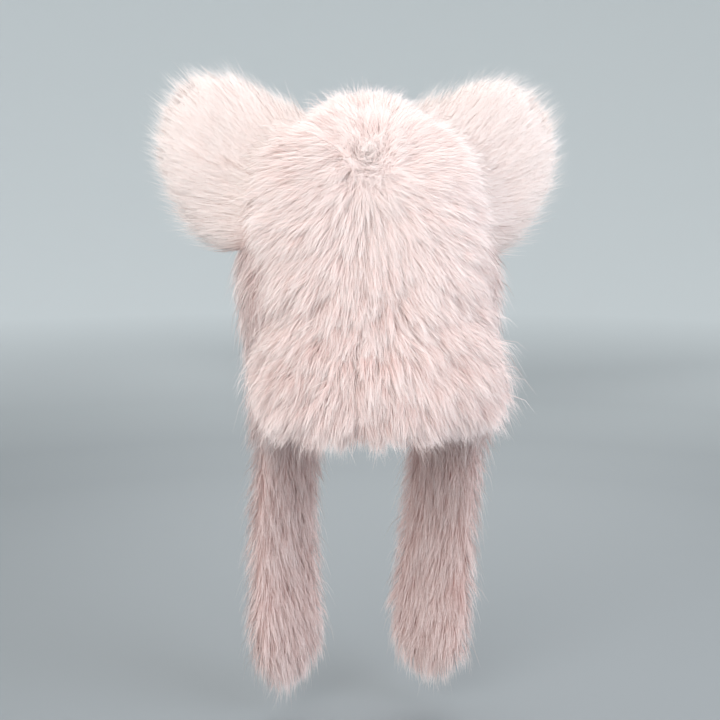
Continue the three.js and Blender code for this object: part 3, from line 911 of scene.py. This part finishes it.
def crown_density(points):
    """Where strands are sown: wherever there is fur, and more thickly round the whorl."""
    away = np.linalg.norm(points - WHORL, axis=-1)
    return crown_has_fur(points) * (1 + WHORL_DENSITY * np.exp(-((away / WHORL_REACH) ** 2)))


crown_rng = np.random.default_rng(CROWN_SEED)
roots, normals, area = sow(crown_form, crown_levels, CROWN_STRANDS, crown_rng, crown_density)
root_x, root_y, root_z = roots.T
print("crown:", round(area / 100), "square cm of fur")


# %% How near a place on the crown is to an ear's seat
EAR_SEAT_REACH = 26
EAR_SEAT_LENGTH = 85


def near_ears(points):
    nearness = 0
    for sign in (1, -1):
        seated = (points * np.array([sign, 1, 1]) - EAR_MIDDLE) @ EAR_AXES.T
        above = (seated[:, 0] / EAR_SEAT_REACH) ** 2
        along = (seated[:, 2] / EAR_SEAT_LENGTH) ** 4
        nearness = nearness + np.exp(-above - along)
    return np.clip(nearness, 0, 1)


# %% Regions of the crown, each a number from 0 to 1 for every strand
# The numbers in a fade are the places, in mm, where a region starts and where it is full.
WHORL_CORE = 13
HEAD_MIDDLE_X = -12
BACK_MIDDLE = (5, -190)  # sideways and up
BACK_MIDDLE_REACH = (70, 75)

from_whorl = np.linalg.norm(roots - WHORL, axis=1)
by_whorl = np.exp(-((from_whorl / WHORL_REACH) ** 2))
at_whorl = np.exp(-((from_whorl / WHORL_CORE) ** 2))
low_side = fade(np.abs(root_x - HEAD_MIDDLE_X), 45, 85) * fade(root_z, -130, -220)
at_hem = fade(root_z, -225, -255)
at_ear = near_ears(roots)
beside_ear = at_ear * fade(root_z, -20, 0)
behind_ear = at_ear - beside_ear
over_flap = above_flap(roots)
upper = fade(root_z, -62, -32)
at_front = fade(root_y, 40, 0)
across_back = ((root_x - BACK_MIDDLE[0]) / BACK_MIDDLE_REACH[0]) ** 2
down_back = ((root_z - BACK_MIDDLE[1]) / BACK_MIDDLE_REACH[1]) ** 2
middle_back = np.exp(-across_back - down_back)
print("strands by the whorl:", int(np.sum(from_whorl < WHORL_REACH)))

# %% Comb the crown
# Each value is the usual one for the crown, with what the regions add or take away.
crown_length = 31 - 4 * upper - 6 * at_whorl - 6 * beside_ear + 16 * over_flap
crown_height = 17 + 3 * upper - 11 * at_front + 8 * low_side
crown_height = crown_height + 5 * behind_ear * (1 - over_flap) - 9 * beside_ear - 6 * over_flap
wisp_pull = (0.28 + 0.4 * middle_back) * (1 - at_whorl)
tuft_pull = (0.06 + 0.38 * middle_back) * (1 - by_whorl)
loose = np.maximum(behind_ear, over_flap)
crown_strands = comb(
    roots, normals, crown_nap, crown_length, crown_height, crown_rng, area,
    pull=(wisp_pull, tuft_pull),
    tuft_mm=13,
    wisp_mm=3.4,
    stray=8 + 3 * middle_back,
    tumble=25 * by_whorl + 140 * at_whorl,
    mottle=0.7 + 0.8 * middle_back - 0.35 * upper,
    skin=crown_skin,
    hug=0.75 * (1 - 0.9 * at_hem) * (1 - 0.9 * loose),
    fall=0.03,
)

# %% Ribbons of the crown, in four pieces
TOP_PIECE_Z = -54
FRONT_PIECE_Y = 20
CROWN_RIBBON_WIDTH = 0.42

# Painted light and shade in the tone: the fur is painted darker towards the hem, which gets
# less light, and in the middle of the back, where it opens and shade falls between the
# tufts. It is painted lighter at the whorl, which fills the shade of its pit, darker on the
# upper crown, where the light falls strongest, and lighter at the front, where the pile lies
# more in shade.
crown_tone_with_painted_light = 0.86 + 0.002 * (root_z + 150) - 0.1 * middle_back * (root_y > 0)
crown_tone_with_painted_light += 0.1 * by_whorl + 0.2 * at_whorl - 0.25 * upper + 0.2 * at_front
crown_softness = 0.2 + 0.7 * np.maximum(at_front, by_whorl)
on_top = root_z > TOP_PIECE_Z
in_front = ~on_top & (root_y < FRONT_PIECE_Y)
on_left = ~on_top & ~in_front & (root_x > 0)
crown_regions = {
    "crown_fur_top": on_top,
    "crown_fur_front": in_front,
    "crown_fur_back_left": on_left,
    "crown_fur_back_right": ~(on_top | in_front | on_left),
}
for name, chosen in crown_regions.items():
    ribbons(
        name, [part[chosen] for part in crown_strands], CROWN_RIBBON_WIDTH,
        crown_tone_with_painted_light[chosen], crown_softness[chosen, None], crown_pile, "crown_fur",
    )


# %% [markdown]
# ## Ears
# Each ear is a flat pad, sewn of the same fur and standing in a slot at the side of the
# crown. Its strands fan out from the base over both faces, and past the rim, so the
# outline is a soft halo. The pad is a skin of its own, with the strands on it.

# %% Move an ear from its seat to its place
def place_ear(side, points, turn_only=False):
    moved = points @ EAR_AXES
    if not turn_only:
        moved = moved + EAR_MIDDLE
    return moved * np.array([EAR_SIZES[side]["sign"], 1, 1])


# %% The nap of an ear
EAR_FAN_DEPTH = 80  # mm that the fan's middle lies below the ear's base
EAR_TURN_IN = 0.3  # how much the strands of both faces turn towards each other
EAR_COMBED = 0.75  # how flat they are combed
EAR_RIM_DENSITY = 1.6
EAR_OUTER = 100  # mm from the seat to where the strands are sown most thickly


def ear_nap(points, normals):
    ray = points * np.array([1, -EAR_TURN_IN, 1]) + np.array([EAR_FAN_DEPTH, 0, 0])
    ray -= normals * np.sum(ray * normals, axis=-1, keepdims=True) * EAR_COMBED
    return unit(ray)


def ear_density(points):
    """Strands are sown more thickly towards the rim, where they spread apart."""
    return 1 + EAR_RIM_DENSITY * fade(points[..., 0], 0, EAR_OUTER) ** 2


# %% Make the two ears
EAR_SEED = 31
EAR_STRANDS = int(33000 * STRAND_SHARE)
EAR_SIDES = 48
EAR_LENGTH = 33  # of the pile at the ear's base, in mm
EAR_RIM_LOSS = 9  # how much shorter it is at the rim
EAR_RIM_OUT = 110
EAR_CORNER = (90, 42)  # the upper corner of the rim: out and up from the seat
EAR_CORNER_REACH = (30, 28)
EAR_CORNER_GAIN = 3
EAR_HEIGHT = 11
EAR_RIBBON_WIDTH = 0.38
# The ears' tone lies near the pale set, part of their painted light.
EAR_TONE = 0.95

rim_shares = np.linspace(0, 0.999, 40)
for number, side in enumerate(("left", "right")):
    ear_rng = np.random.default_rng(EAR_SEED + number)

    def ear_surface(share, angle, side=side):
        return ear_form(side, share, angle)

    pad_points, pad_faces = grid_over(
        lambda share, angle: place_ear(side, ear_form(side, share, angle)),
        rim_shares, EAR_SIDES,
    )
    pad_points = clear_of_backing(pad_points)
    pad = skin_object(
        "ear_" + side + "_pad", pad_points, pad_faces, ear_cloth_painted_light,
        "ear_" + side, thickness_mm=2,
    )
    roots, normals, area = sow(ear_surface, rim_shares, EAR_STRANDS, ear_rng, ear_density)
    from_corner_out = ((roots[:, 0] - EAR_CORNER[0]) / EAR_CORNER_REACH[0]) ** 2
    from_corner_up = ((roots[:, 2] - EAR_CORNER[1]) / EAR_CORNER_REACH[1]) ** 2
    upper_corner = np.exp(-from_corner_out - from_corner_up)
    length = EAR_LENGTH - EAR_RIM_LOSS * roots[:, 0] / EAR_RIM_OUT
    length = length + EAR_CORNER_GAIN * upper_corner
    strands = comb(
        roots, normals, ear_nap, length, EAR_HEIGHT, ear_rng, area,
        pull=(0.12, 0.02),
        tuft_mm=16,
        wisp_mm=3,
        stray=6,
        mottle=0.25,
        guard_reach=1.9,
    )
    placed = [place_ear(side, part) for part in strands[:3]]
    placed.append(place_ear(side, strands[3], turn_only=True))
    softness = 0.2 + 0.7 * normals[:, 1, None] ** 2  # softer on the faces than at the rim
    ribbons(
        "ear_" + side + "_fur", placed + list(strands[4:]), EAR_RIBBON_WIDTH, EAR_TONE,
        softness, ear_pile_painted_light, "ear_" + side,
    )

# %% [markdown]
# ## Side flaps
# Each flap hangs from under its ear, wraps the side of the head, and goes on as a long
# scarf with fur on both faces. Its nap runs straight down. A double layer of fur cloth
# keeps a flat oval section, so the ground is a closed skin of that section.

# %% The nap of a flap
FLAP_RISE = 0.1  # how steeply its strands leave the cloth


def flap_nap(points, normals):
    down = np.zeros_like(points)
    down[..., 2] = -1
    down += normals * (FLAP_RISE - np.sum(down * normals, axis=-1, keepdims=True))
    return unit(down)


# %% Make the two flaps
FLAP_SEED = 51
FLAP_STRANDS = int(32000 * STRAND_SHARE)
FLAP_SIDES = 40
FLAP_LENGTH = 33  # of its pile, in mm
FLAP_HEIGHT = 12
FLAP_RIBBON_WIDTH = 0.4
# Painted shade: the flaps' tone is deeper than the crown's.
FLAP_TONE = 0.5
# Painted light: the flap is painted paler towards its top, which lifts the shade that falls there
# under the ear.
FLAP_TOP_PAINTED_LIGHT = 0.35  # how much paler it is at the top
FLAP_SOFTNESS = 0.2
UNMOVED = 0.01  # a root that moves less than this is clear of the backing

falls = np.linspace(0, 1, 80)
for number, side in enumerate(("left", "right")):
    flap_rng = np.random.default_rng(FLAP_SEED + number)
    mirror = np.array([EAR_SIZES[side]["sign"], 1, 1])

    def flap_surface(fall, angle, side=side, mirror=mirror):
        return flap_form(side, fall, angle) * mirror

    core_points, core_faces = grid_over(flap_surface, falls, FLAP_SIDES)
    core_points = clear_of_backing(core_points)
    skin_object(
        "flap_" + side + "_ground", core_points, core_faces, ground_cloth,
        "flap_" + side, thickness_mm=2,
    )
    roots, normals, area = sow(flap_surface, falls, FLAP_STRANDS, flap_rng, everywhere)
    moved = clear_of_backing(roots)
    outside = np.linalg.norm(moved - roots, axis=-1) < UNMOVED
    roots, normals = roots[outside], normals[outside]
    strands = comb(
        roots, normals, flap_nap, FLAP_LENGTH, FLAP_HEIGHT, flap_rng, area,
        pull=(0.42, 0.2),
        tuft_mm=13,
        wisp_mm=3.8,
        stray=8,
    )
    # Painted light, paler towards the top of the flap, over its painted shade.
    flap_tone_with_painted_light = FLAP_TONE + FLAP_TOP_PAINTED_LIGHT * fade(roots[:, 2], -260, -160)
    ribbons(
        "flap_" + side + "_fur", strands, FLAP_RIBBON_WIDTH, flap_tone_with_painted_light,
        FLAP_SOFTNESS, flap_pile_painted_shade, "flap_" + side,
    )

# %% [markdown]
# ## Backing
# Inside, the bonnet shows the back of its knitted ground cloth: fine ribs that run down the
# head. It is a weft knit of spun acrylic, matt with a soft bloom. It is worn against the
# hair and stays plain. The ribs are in the mesh, drawn about three times as coarse as real
# ones so that they show. The rows of stitches, too fine for it, are a bump 0.8 mm apart.

# %% Knit for the inside
KNIT_PATCHES = 60.0  # across the head, so each is about 4 mm wide
KNIT_ROW_SCALE = 110.0
KNIT_RELIEF = 0.0006

backing_knit, knit_tree, knit_shader = new_material(
    "weft_knit_dusty_pink", roughness=0.92, ior=ACRYLIC_IOR, sheen=0.25
)
knit_noise = add_node(knit_tree, "TexNoise", Scale=KNIT_PATCHES, Detail=5.0)
knit_tint = add_node(
    knit_tree, "Mix", {"data_type": "RGBA"},
    Factor=knit_noise.outputs["Fac"], _6=colour("#CDA49B"), _7=colour("#DFBBB3"),
)
knit_rows = add_node(
    knit_tree, "TexWave", {"bands_direction": "Z"}, Scale=KNIT_ROW_SCALE, Distortion=1.5
)
knit_bump = add_node(
    knit_tree, "Bump", Strength=0.4, Distance=KNIT_RELIEF, Height=knit_rows.outputs["Fac"]
)
knit_tree.links.new(knit_tint.outputs[2], knit_shader.inputs["Base Color"])
knit_tree.links.new(knit_bump.outputs["Normal"], knit_shader.inputs["Normal"])
print("knit:", backing_knit.name)

# %% Ribbed wall of the backing
RIBS = 90
RIB_HEIGHT = 0.45
POINTS_PER_RIB = 4
HEM_LEVEL = 1.958  # the level at the hem's height


def backing_form(level, angle):
    return head_form(level, angle, wall=-BACKING_WALL + RIB_HEIGHT * np.cos(angle * RIBS))


wall_levels = np.linspace(NEAR_TOP, HEM_LEVEL, 36)
wall_points, wall_faces = grid_over(backing_form, wall_levels, RIBS * POINTS_PER_RIB)
centres = wall_points[wall_faces].mean(axis=1)
wall_faces = wall_faces[~in_face_opening(centres)]
skin_object(
    "backing_knit", wall_points, wall_faces, backing_knit,
    "crown_backing", thickness_mm=2.2,
)

# %% Say what was made, and finish
most = max(triangle_counts.values())
print("triangles in all:", sum(triangle_counts.values()), "and the most in one piece:", most)
